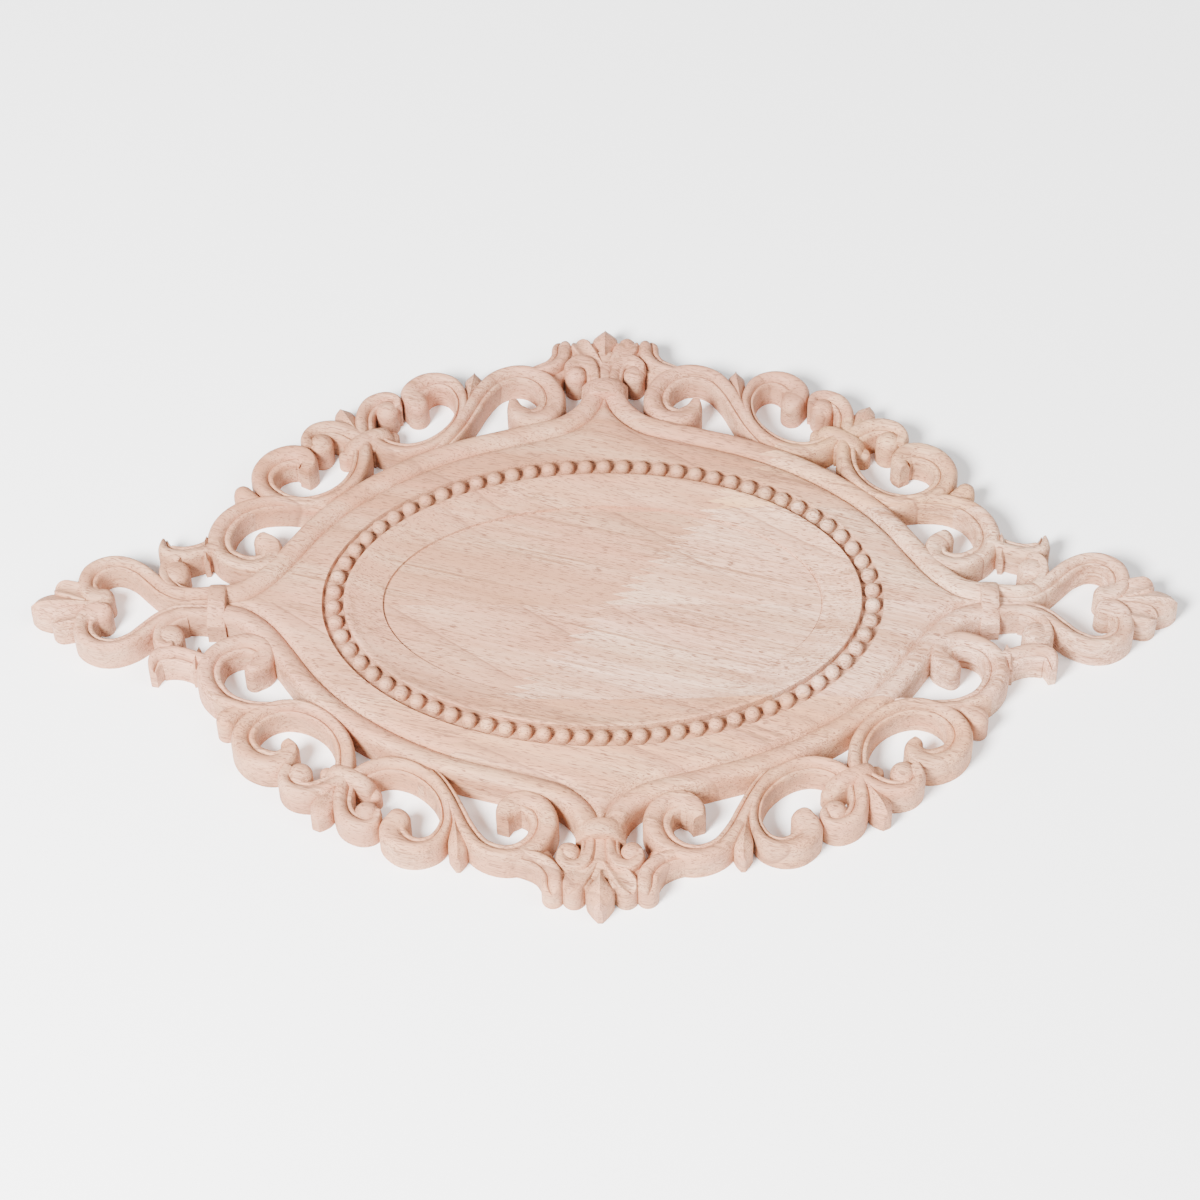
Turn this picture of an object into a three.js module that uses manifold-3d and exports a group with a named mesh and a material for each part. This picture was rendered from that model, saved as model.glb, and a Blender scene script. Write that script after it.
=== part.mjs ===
// Openwork carved wood applique: an oval dish with a ring of pearls in a lozenge panel,
// clasped at its four necks and fringed with scrolls, buds and leaf finials.
// It is carved from one board, so it is one solid, lying on its flat back.
// Millimetres: +X runs along the length, +Y across it, +Z out of the flat back.

import * as THREE from "three";
import Module from "manifold-3d";

// Overall size, over the tips of the leaf finials and the tops of the pearls.
const length = 400;
const width = 251;
const thickness = 15;

// Heights above the flat back.
const crest = 12.5; // top of the scrolls and of the panel's edge moulding
const shoulder = 8; // where the sawn wall of every edge starts to round over
const innerShoulder = 8.9; // the same on the side of a scroll's eye
const grooveHeight = 10.3; // foot of the edge moulding, inside the panel
const grooveCut = 1.2; // how far the field runs on down below that foot, under the moulding
const fieldHeight = 12.6; // the field where it meets the pearl channel
const channelHeight = 11.9; // floor of the pearl channel
const rimHeight = 13.8; // lip between the pearls and the dish
const dishHeight = 10.4; // flat floor of the dish

// Panel, pearls and dish.
const mouldingWidth = 8.5;
const ringLength = 188; // pearl ring, over the pearls' middles
const ringWidth = 117.4;
const channelWidth = 7.9;
const channelWall = 0.4; // slope of the channel's sides, in plan
const pearlDiameter = 5.8;
const pearlPitch = 6.57;
const pearlFoot = 0.4; // how far a pearl goes on down below the channel floor
const dishLength = 153.6;
const dishWidth = 84.4;

// Clasps, as bands across the necks. The rise is a share of the crest height.
const endClasp = { at: 134.6, reach: 9.3, width: 6.5 }; // on the long axis
const sideClasp = { at: 95.2, reach: 8, width: 7 }; // on the short axis
const claspRise = 1.1;

// How finely curves are faceted.
const facetTurn = THREE.MathUtils.degToRad(50);
const facetRun = 26;
const facetBulge = 0.75; // most that a curve bulges beyond a facet's edge
const facetSwell = 5; // most that a strand's width changes between cross-sections
const facetRise = 0.3; // most that its rise changes
const facetMerge = 0.4; // furthest that merging small facets moves the surface
const samples = 16; // places looked at from one knot of a path to the next
const pearlSides = 5;
const ballSides = 5;

// The fringe is free carving. One quadrant of it is drawn on a sheet of this size,
// and stretched to the length and width above.
const sheet = { length: 400, width: 251 };
const stretch = { x: length / sheet.length, y: width / sheet.width };

// Cross-sections, as [share of the width from the middle, share of the crest height].
// The positive side is the one that faces a scroll's eye.
const wall = shoulder / crest;
const scrollSection = [
  [-0.5, 0],
  [-0.5, wall],
  [-0.27, 1],
  [0.5, innerShoulder / crest],
  [0.5, 0],
];
const mouldingSection = [
  [-0.5, 0],
  [-0.5, wall],
  [-0.12, 1],
  [0.5, grooveHeight / crest],
  [0.5, 0],
];
const leafSection = [
  [-0.5, 0],
  [-0.5, wall],
  [0, 1],
  [0.5, wall],
  [0.5, 0],
];
const roundSection = [
  [-0.5, 0],
  [-0.5, wall],
  [-0.3, 0.94],
  [0.3, 0.94],
  [0.5, wall],
  [0.5, 0],
];

const groundSection = [
  [-0.5, 0],
  [-0.5, 0.94],
  [0.5, 0.94],
  [0.5, 0],
];

// One quadrant of the fringe. A knot is [x, y, width] or [x, y, width, rise], where rise
// is a share of the crest height, and a smooth curve runs through a path's knots.
// eye says on which side of the path its eye and its inner strip lie.
const left = 1;
const right = -1;
const strands = [
  // The scroll beside the leaf finial on the short axis, from its hook to the panel.
  {
    eye: right,
    knots: [
      [33.2, 91, 3.4, 0.9], [31.6, 86.4, 7.2], [26.8, 83.4, 8.4], [21, 86, 9.4], [18.9, 92.2, 9.8],
      [21.4, 99, 8.6], [27, 103.2, 7.4], [33.4, 103.9, 6.9], [40, 100.9, 6.8], [45, 94.2, 6.6],
      [48.4, 86.8, 6.2], [51.6, 79.8, 5.4], [55.8, 73.2, 4.8], [61, 67.5, 4.6],
    ],
  },
  // Its hooked leaf, which turns out beside the finial.
  {
    eye: right,
    ends: [false, true],
    knots: [[31, 104, 5], [24.5, 105.6, 5.4], [19.4, 108, 6.4], [16.3, 112, 7.4], [15.8, 116, 7.6]],
  },
  // The small volute of the finial on the short axis.
  {
    eye: left,
    knots: [[13, 103.8, 3], [12.6, 106.8, 4.8], [9.6, 109.2, 5.2], [5.8, 108, 5.4], [4.1, 103, 5.2], [4, 95.6, 5]],
  },
  // The ground between the two volutes there, and the web between a volute and the hooked leaf.
  { section: groundSection, knots: [[0, 96, 5, 0.86], [0, 114, 9, 0.84]] },
  { section: groundSection, knots: [[12, 108.2, 5, 0.68], [20, 104.2, 7, 0.66]] },
  // The open scroll next to it, from its blunt end to the knot.
  {
    eye: left,
    ends: [true, false],
    knots: [
      [67.8, 90.2, 8.2], [69.5, 94.8, 9.6], [66, 99.4, 8.2], [60.6, 100.9, 6.4], [55.2, 98.6, 5.8], [52.1, 92.8, 5],
      [52, 86.6, 4.4], [54, 80.2, 4.8], [58.4, 74.4, 5.6], [64.4, 70.2, 6.2], [71.4, 68.6, 6.4], [78, 70.2, 6.6],
      [83, 74, 6.6],
    ],
  },
  // The ball volutes on both sides of the knot.
  {
    eye: right,
    knots: [[74.8, 87.6, 3], [76.2, 91.2, 5], [80.2, 91.9, 6.4], [84.8, 89.2, 7], [86.8, 84, 6.8], [86.4, 77, 7]],
  },
  {
    eye: left,
    knots: [[105.8, 69.6, 4], [106.6, 73.6, 5.8], [104, 77.2, 6.6], [98.8, 78.4, 7], [93.6, 77, 7.4], [88, 73, 7]],
  },
  // The strap of the knot, a straight band over the stems that meet there.
  {
    section: roundSection,
    knots: [[93.4, 71.2, 5, 0.85], [89.8, 73.6, 6.4, 1.04], [84.3, 76.8, 6.8, 1.1], [79, 79.8, 6.4, 1.04], [75.6, 81.8, 5, 0.85]],
  },
  // The scroll between the knot and the end, from its hook back to the knot.
  {
    eye: right,
    knots: [
      [107.6, 58.8, 2.8, 0.9], [106, 62.2, 6.6], [108.6, 65.8, 8.2], [113.6, 66.1, 8.8], [119, 63.2, 8.8],
      [121.9, 57.6, 8.8], [120.4, 51.4, 7.8], [115.2, 46.8, 6.4], [108.6, 44.6, 6.2], [102, 45.4, 6.2],
      [96, 48.4, 6], [91.2, 53, 6], [88, 58.8, 6.6], [86.8, 65, 7], [87, 71, 7],
    ],
  },
  // The large scroll nearest to the end, from its hook to the panel.
  {
    eye: left,
    ends: [true, false],
    knots: [
      [120.4, 27.8, 6.4], [117.2, 24.8, 7.8], [117.8, 19.8, 8.4], [122.6, 17.4, 8], [128.2, 18.4, 7.6], [133.4, 22, 8],
      [135.7, 28, 8.8], [134.2, 34.8, 8.4], [129.4, 40.6, 7], [122, 43.8, 5.6], [114, 44.4, 5.2], [106, 43.8, 5],
      [98, 42.6, 4.8],
    ],
  },
  // Its hooked leaf and the small bract where the leaf leaves it.
  {
    eye: left,
    knots: [[136, 26.6, 7.6], [142.6, 23.4, 6.4], [148.8, 22, 7], [154, 23.6, 6.2], [155.2, 28.6, 2.4, 0.85]],
  },
  {
    section: leafSection,
    knots: [[140, 29.6, 1.4, 0.9], [140.2, 24.6, 3, 1.02], [139.4, 19, 1, 0.85]],
  },
  // The ball volute that turns back from the neck at the end.
  {
    eye: right,
    knots: [
      [147, 17.4, 3], [150.6, 18.8, 4.4], [153.6, 15.6, 4.8], [153, 10.6, 4.8], [149, 6.2, 5.2], [145.5, 4.6, 5.4],
    ],
  },
  // The scroll round the heart, from its end on the long axis to the neck.
  {
    eye: left,
    knots: [
      [171.4, 2.8, 6], [177, 3, 7.6], [180.4, 7.4, 7.4], [179.7, 13.2, 7.4], [175.2, 17, 6.2], [169.4, 17.6, 5.7],
      [163.4, 15, 6], [158.6, 10.6, 6.4], [154, 6.2, 6.4], [148, 3.4, 7], [141, 3.2, 7], [135.6, 3.6, 7.6],
    ],
  },
  // Buds and leaf tips between the scrolls.
  {
    section: leafSection,
    knots: [[49.8, 84, 1, 0.9], [48.6, 94, 4, 1], [47.7, 100.8, 6.6, 1], [47.7, 105.4, 1.4, 0.75]],
  },
  { section: leafSection, knots: [[90, 78, 5, 0.95], [93.6, 83.4, 8.6, 1], [96.2, 88.3, 3, 0.72]] },
  { section: roundSection, ends: [false, true], knots: [[122, 44, 5, 0.9], [128.5, 48.8, 7]] },
  // Side lobes of the two leaf finials.
  { section: roundSection, ends: [false, true], knots: [[2, 107, 6, 0.9], [5.6, 112, 7.4], [8.2, 116, 7.6]] },
  { section: roundSection, ends: [false, true], knots: [[180, 3, 6, 0.95], [184.8, 5.2, 8.4], [188.4, 6.2, 8]] },
];

// Ball eyes of the small volutes, as [x, y, radius].
const balls = [[10.6, 103.5, 3.3], [78.4, 87.5, 3.5], [101.8, 72.2, 3.5], [149.4, 14.2, 3.9]];

// The panel's edge moulding, from the neck on the short axis to the neck on the long one.
// It goes on under the clasps as the stems of the scrolls there.
const moulding = [
  [3.8, 95.5], [4, 92], [7.4, 85.6], [14, 80], [23, 76.8], [36, 73.2], [51, 68.6], [66, 62], [80, 53.6],
  [92, 44.2], [102, 33.4], [110, 22], [117, 12.6], [124, 6.5], [130, 4.2], [135, 3.7],
].map(([x, y]) => [x, y, mouldingWidth]);

// Leaf finials on the axes, as paths that run out to their tips.
const endLeaf = [[180, 0, 6, 0.95], [187, 0, 9, 1], [192, 0, 11, 1], [197.4, 0, 7.6, 0.9], [200, 0, 2.4, 0.7]];
const sideLeaf = [[0, 112.5, 1.6, 0.98], [0, 116, 6, 1.04], [0, 119.6, 10.6, 1.02], [0, 123, 6.6, 0.94], [0, 125.5, 1.6, 0.72]];

// Clasps, as paths across the necks: [distance from the axis, rise].
const claspArch = [[-1, 0.68], [-0.62, 0.98], [0, claspRise], [0.62, 0.98], [1, 0.68]];
const endBand = claspArch.map(([share, rise]) => [endClasp.at, endClasp.reach * share, endClasp.width, rise]);
const sideBand = claspArch.map(([share, rise]) => [sideClasp.reach * share, sideClasp.at, sideClasp.width, rise]);

const wasm = await Module();
wasm.setup();

// A closed solid from its corners and its triangles.
function solid(points, faces) {
  const vertProperties = new Float32Array(points.flat());
  const triVerts = new Uint32Array(faces.flat());
  return new wasm.Manifold(new wasm.Mesh({ numProp: 3, vertProperties, triVerts }));
}

// A skin through rings of equally many points, each ring the next one's neighbour.
function skin(rings) {
  const faces = [];
  const count = rings[0].length;
  for (let i = 0; i + 1 < rings.length; i++) {
    for (let k = 0; k < count; k++) {
      const a = i * count + k;
      const b = i * count + ((k + 1) % count);
      faces.push([a, b, b + count], [a, b + count, a + count]);
    }
  }
  return faces;
}

// The smooth curve through the knots, at t from 0 to 1. A knot without a rise stands at 1.
function pointOn(knots, t) {
  const spans = knots.length - 1;
  const span = Math.min(Math.floor(t * spans), spans - 1);
  const u = t * spans - span;
  const knot = (i) => knots[THREE.MathUtils.clamp(i, 0, spans)];
  return [0, 1, 2, 3].map((axis) => {
    const [p, q, r, s] = [-1, 0, 1, 2].map((step) => knot(span + step)[axis] ?? 1);
    const bend = 2 * p - 5 * q + 4 * r - s;
    const twist = 3 * q - p - 3 * r + s;
    return q + 0.5 * u * (r - p + u * (bend + u * twist));
  });
}

// The places along a path where a cross-section stands: at its knots, or closer together
// in a bend.
function stations(knots, atKnots = false) {
  const steps = (knots.length - 1) * samples;
  const found = [];
  let run = 0;
  for (let i = 0; i <= steps; i++) {
    const [x, y, across, rise] = pointOn(knots, i / steps);
    const [x0, y0] = pointOn(knots, Math.max(0, i - 0.5) / steps);
    const [x1, y1] = pointOn(knots, Math.min(steps, i + 0.5) / steps);
    const heading = Math.atan2(y1 - y0, x1 - x0);
    const last = found.at(-1);
    run += last ? Math.hypot(x1 - x0, y1 - y0) : 0;
    const turned = last ? Math.abs(Math.atan2(Math.sin(heading - last.heading), Math.cos(heading - last.heading))) : 0;
    const swell = last ? Math.abs(across - last.across) / facetSwell : 0;
    const lift = last ? Math.abs(rise - last.rise) / facetRise : 0;
    const bulge = (run * turned) / 8 / facetBulge; // an arc's rise over its chord is length * angle / 8
    const bent = Math.max(turned / facetTurn, bulge, run / facetRun, swell, lift) > 1;
    const due = atKnots ? i % samples === 0 : bent;
    if (!last || i === steps || due) {
      if (i === steps && run < 1) found.pop();
      found.push({ x, y, across, rise, heading });
      run = 0;
    }
  }
  return found;
}

// A rounded end: cross-sections that narrow along a half circle past the last one.
function rounded(station, forward) {
  return [55].map((degrees) => {
    const angle = THREE.MathUtils.degToRad(degrees);
    const reach = (forward * station.across * Math.sin(angle)) / 2;
    return {
      ...station,
      x: station.x + reach * Math.cos(station.heading),
      y: station.y + reach * Math.sin(station.heading),
      across: station.across * Math.cos(angle),
      rise: station.rise * (0.72 + 0.28 * Math.cos(angle)),
    };
  });
}

// A strand: a cross-section carried along a path, with its wall down to the flat back.
function strand({ knots, section = scrollSection, eye = left, ends = [false, false] }) {
  let row = stations(knots, section !== scrollSection && section !== mouldingSection);
  if (ends[0]) row = [...rounded(row[0], -1).reverse(), ...row];
  if (ends[1]) row = [...row, ...rounded(row.at(-1), 1)];
  const outline = eye === left ? section : section.map(([side, up]) => [-side, up]).reverse();
  const rings = row.map(({ x, y, across, rise, heading }) =>
    outline.map(([side, up]) => [
      (x - side * across * Math.sin(heading)) * stretch.x,
      (y + side * across * Math.cos(heading)) * stretch.y,
      up * rise * crest,
    ]),
  );
  const lastRing = (rings.length - 1) * outline.length;
  const start = outline.slice(2).map((_, i) => [0, i + 1, i + 2]);
  const finish = start.map(([a, b, c]) => [a + lastRing, c + lastRing, b + lastRing]);
  return solid(rings.flat(), [...skin(rings).map(([a, b, c]) => [a, c, b]), ...start, ...finish]);
}

// A ring of points with radius and height given by functions of the way round, closed to
// a point at each end: the skin of a turned or an oval body, from its top to its base.
function closed(rings, top, base) {
  const count = rings[0].length;
  const points = [...rings.flat(), top, base];
  const topIndex = points.length - 2;
  const baseIndex = points.length - 1;
  const lastRing = (rings.length - 1) * count;
  const faces = skin(rings).map(([a, b, c]) => [a, c, b]);
  for (let k = 0; k < count; k++) {
    const next = (k + 1) % count;
    faces.push([k, next, topIndex], [lastRing + next, lastRing + k, baseIndex]);
  }
  return solid(points, faces);
}

function circle(x, y, radius, height, sides) {
  return Array.from({ length: sides }, (_, k) => {
    const angle = ((k + 0.5) / sides) * 2 * Math.PI;
    return [x + radius * Math.cos(angle), y + radius * Math.sin(angle), height];
  });
}

// A ball eye, standing on the flat back with a round top.
function ball([x, y, radius]) {
  const [cx, cy] = [x * stretch.x, y * stretch.y];
  const rings = [
    circle(cx, cy, 0.62 * radius, 0.94 * crest, ballSides),
    circle(cx, cy, radius, shoulder, ballSides),
    circle(cx, cy, radius, 0, ballSides),
  ];
  return closed(rings, [cx, cy, crest * 1.01], [cx, cy, 0]);
}

// The body of the panel, ring by ring from the dish floor out to the middle of the edge
// moulding and down to the flat back.
const edge = stations(moulding).slice(1, -1);
function ring(reach, height) {
  const quarter = edge.map(({ x, y }) => reach(x * stretch.x, y * stretch.y)).reverse();
  const onAxis = [reach(endClasp.at * stretch.x, 0), reach(0, sideClasp.at * stretch.y)];
  const half = [onAxis[0], ...quarter, onAxis[1], ...quarter.map(([x, y]) => [-x, y]).reverse()];
  return [...half, ...half.map(([x, y]) => [-x, -y])].map(([x, y]) => [x, y, height]);
}
function oval(ovalLength, ovalWidth, height) {
  const towards = (x, y) => {
    const share = 1 / Math.hypot(x / (ovalLength / 2), y / (ovalWidth / 2));
    return [x * share, y * share];
  };
  return ring(towards, height);
}
const channelInside = { length: ringLength - channelWidth, width: ringWidth - channelWidth };
const channelOutside = { length: ringLength + channelWidth, width: ringWidth + channelWidth };
const slopeMiddle = 0.45;
const panel = closed(
  [
    oval(dishLength, dishWidth, dishHeight),
    oval(
      dishLength + slopeMiddle * (channelInside.length - dishLength),
      dishWidth + slopeMiddle * (channelInside.width - dishWidth),
      dishHeight + 0.3 * (rimHeight - dishHeight),
    ),
    oval(channelInside.length, channelInside.width, rimHeight),
    oval(channelInside.length + 2 * channelWall, channelInside.width + 2 * channelWall, channelHeight),
    oval(channelOutside.length - 2 * channelWall, channelOutside.width - 2 * channelWall, channelHeight),
    oval(channelOutside.length, channelOutside.width, fieldHeight),
    ring((x, y) => [x, y], grooveHeight - grooveCut),
    ring((x, y) => [x, y], 0),
  ],
  [0, 0, dishHeight],
  [0, 0, 0],
);

// Pearls, evenly spaced round the ring. Each is a dome whose foot is let into the board.
function pearls() {
  const [a, b] = [ringLength / 2, ringWidth / 2];
  const around = new THREE.EllipseCurve(0, 0, a, b);
  around.arcLengthDivisions = 720;
  const count = Math.round(around.getLength() / pearlPitch);
  const radius = pearlDiameter / 2;
  const middle = thickness - radius;
  const foot = channelHeight - pearlFoot;
  return Array.from({ length: count }, (_, i) => {
    const { x, y } = around.getPointAt((i + 0.5) / count);
    const rings = [
      circle(x, y, 0.72 * radius, middle + 0.7 * radius, pearlSides),
      circle(x, y, radius, foot, pearlSides),
    ];
    return closed(rings, [x, y, thickness], [x, y, foot]);
  });
}

// A quarter of the carving, cut off at both axes and mirrored across them.
const quarter = wasm.Manifold.union([
  ...strands.map(strand),
  strand({ knots: moulding, section: mouldingSection, eye: right }),
  strand({ knots: endLeaf, section: leafSection }),
  strand({ knots: sideLeaf, section: leafSection }),
  strand({ knots: endBand, section: roundSection }),
  strand({ knots: sideBand, section: roundSection }),
  ...balls.map(ball),
  panel,
])
  .simplify(facetMerge)
  .trimByPlane([1, 0, 0], 0)
  .trimByPlane([0, 1, 0], 0);
const half = quarter.add(quarter.mirror([1, 0, 0]));
const whole = half.add(half.mirror([0, 1, 0]));
const carved = wasm.Manifold.union([whole, ...pearls()]).simplify(facetMerge);

// The finished solid as a mesh in bare, pale wood.
const { vertProperties, triVerts } = carved.getMesh();
const geometry = new THREE.BufferGeometry()
  .setAttribute("position", new THREE.BufferAttribute(vertProperties, 3))
  .setIndex(new THREE.BufferAttribute(triVerts, 1));
geometry.computeVertexNormals();

const bareWood = new THREE.MeshStandardMaterial({ color: 0xdcb9a2, roughness: 0.75, metalness: 0 });
const applique = new THREE.Mesh(geometry, bareWood);
applique.name = "carved_applique";

const group = new THREE.Group();
group.add(applique);
export default group;
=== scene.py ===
import math

import bmesh
import bpy
from bpy.props import FloatProperty, PointerProperty, StringProperty
from mathutils import Matrix, Vector


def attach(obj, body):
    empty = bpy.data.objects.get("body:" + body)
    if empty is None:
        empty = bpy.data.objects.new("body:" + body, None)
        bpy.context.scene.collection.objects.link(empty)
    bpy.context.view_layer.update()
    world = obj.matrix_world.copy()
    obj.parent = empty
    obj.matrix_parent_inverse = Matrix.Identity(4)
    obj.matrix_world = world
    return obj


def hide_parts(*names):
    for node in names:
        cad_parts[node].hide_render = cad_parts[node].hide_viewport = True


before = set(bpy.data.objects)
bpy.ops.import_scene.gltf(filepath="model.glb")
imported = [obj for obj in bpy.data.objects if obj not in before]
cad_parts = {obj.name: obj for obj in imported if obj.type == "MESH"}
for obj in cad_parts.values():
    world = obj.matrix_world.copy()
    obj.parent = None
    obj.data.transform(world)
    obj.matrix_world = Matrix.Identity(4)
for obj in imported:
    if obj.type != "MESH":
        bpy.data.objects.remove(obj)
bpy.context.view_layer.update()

bl_info = {
    "name": "Carved wood applique",
    "version": (1, 0, 0),
    "blender": (4, 5, 0),
    "location": "3D View > Sidebar > Applique",
    "description": "Carves an openwork applique in bare rubberwood and sets it on a pale floor",
    "category": "Object",
}

MM = 0.001
NODE = "carved_applique"

# Points of a mesh nearer than this, in m, are merged, and those of the finished carving a little further apart.
MERGED = 1e-6
MERGED_AT_LAST = 2e-6
# Where two faces turn by more than this, in degrees, the edge between them stays sharp.
SHARP_EDGE = 28

# How cross-sections are set along a path: the places tried between two knots, the change in width (mm) and in
# rise that calls for another one, and the share of a step within which the last replaces the one before it.
TRIED = 48
SWELL = 0.6
LIFT = 0.03
CROWDED = 0.3
# A rounded end: where its cross-sections stand on a quarter turn, in degrees, and its rise at the tip.
END_CUTS = (18, 34, 48, 60, 70, 78, 84)
END_RISE = 0.72
# A hook's pad is whole up to 1 - 1 / PAD_HOLD of its length, and passes over into the scroll from there.
PAD_HOLD = 1.6
# Round tops: rings from the top down to the shoulder, and sides round a ball and round a pearl.
DOME_RINGS = 7
BALL_SIDES = 20
PEARL_SIDES = 14

# Which side of a path its eye and its inner strip lie on, seen along the path.
LEFT = 1
RIGHT = -1

# Cross-sections, as (share of the width from the middle, height in mm). The positive side faces the eye.
SCROLL = (
    (-0.5, 0), (-0.5, 8.4), (-0.49, 9.7), (-0.455, 10.8), (-0.4, 11.7), (-0.33, 12.25), (-0.24, 12.5),
    (-0.14, 12.45), (-0.04, 12.2), (0.05, 11.8), (0.12, 11.2), (0.17, 10.4), (0.2, 9.9), (0.24, 10.45),
    (0.32, 10.8), (0.4, 10.6), (0.46, 10.1), (0.5, 9.1), (0.5, 0),
)
# The same one without its inner strip, for the swelling end of a hook.
PAD = (
    (-0.5, 0), (-0.5, 8.6), (-0.49, 9.9), (-0.46, 10.9), (-0.41, 11.75), (-0.35, 12.3), (-0.28, 12.5),
    (-0.2, 12.5), (-0.1, 12.45), (0.0, 12.35), (0.1, 12.2), (0.18, 12.0), (0.25, 11.8), (0.31, 11.5),
    (0.37, 11.1), (0.42, 10.6), (0.47, 9.9), (0.5, 9.0), (0.5, 0),
)
MOULDING = (
    (-0.5, 0), (-0.5, 7.8), (-0.49, 9.0), (-0.46, 10.2), (-0.4, 11.3), (-0.32, 12.05), (-0.22, 12.42),
    (-0.11, 12.5), (0.01, 12.4), (0.13, 12.1), (0.24, 11.6), (0.33, 10.9), (0.39, 10.2), (0.44, 9.2),
    (0.5, 0),
)
LEAF = (
    (-0.5, 0), (-0.5, 7.6), (-0.485, 8.8), (-0.44, 9.6), (-0.36, 10.3), (-0.24, 11.1), (-0.12, 11.8),
    (0.0, 12.6), (0.12, 11.8), (0.24, 11.1), (0.36, 10.3), (0.44, 9.6), (0.485, 8.8), (0.5, 7.6), (0.5, 0),
)
ROUND = (
    (-0.5, 0), (-0.5, 8.0), (-0.48, 9.5), (-0.42, 10.8), (-0.33, 11.7), (-0.2, 12.3), (-0.07, 12.5),
    (0.07, 12.5), (0.2, 12.3), (0.33, 11.7), (0.42, 10.8), (0.48, 9.5), (0.5, 8.0), (0.5, 0),
)
CUPPED = (
    (-0.5, 0), (-0.5, 8.6), (-0.48, 10.4), (-0.43, 11.6), (-0.36, 12.1), (-0.28, 11.9), (-0.19, 11.3),
    (-0.07, 10.9), (0.07, 10.9), (0.19, 11.3), (0.28, 11.9), (0.36, 12.1), (0.43, 11.6), (0.48, 10.4),
    (0.5, 8.6), (0.5, 0),
)
BAND = (
    (-0.5, 0), (-0.5, 11.4), (-0.46, 12.0), (-0.38, 12.35), (-0.2, 12.55), (0.0, 12.6), (0.2, 12.55),
    (0.38, 12.35), (0.46, 12.0), (0.5, 11.4), (0.5, 0),
)

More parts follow.
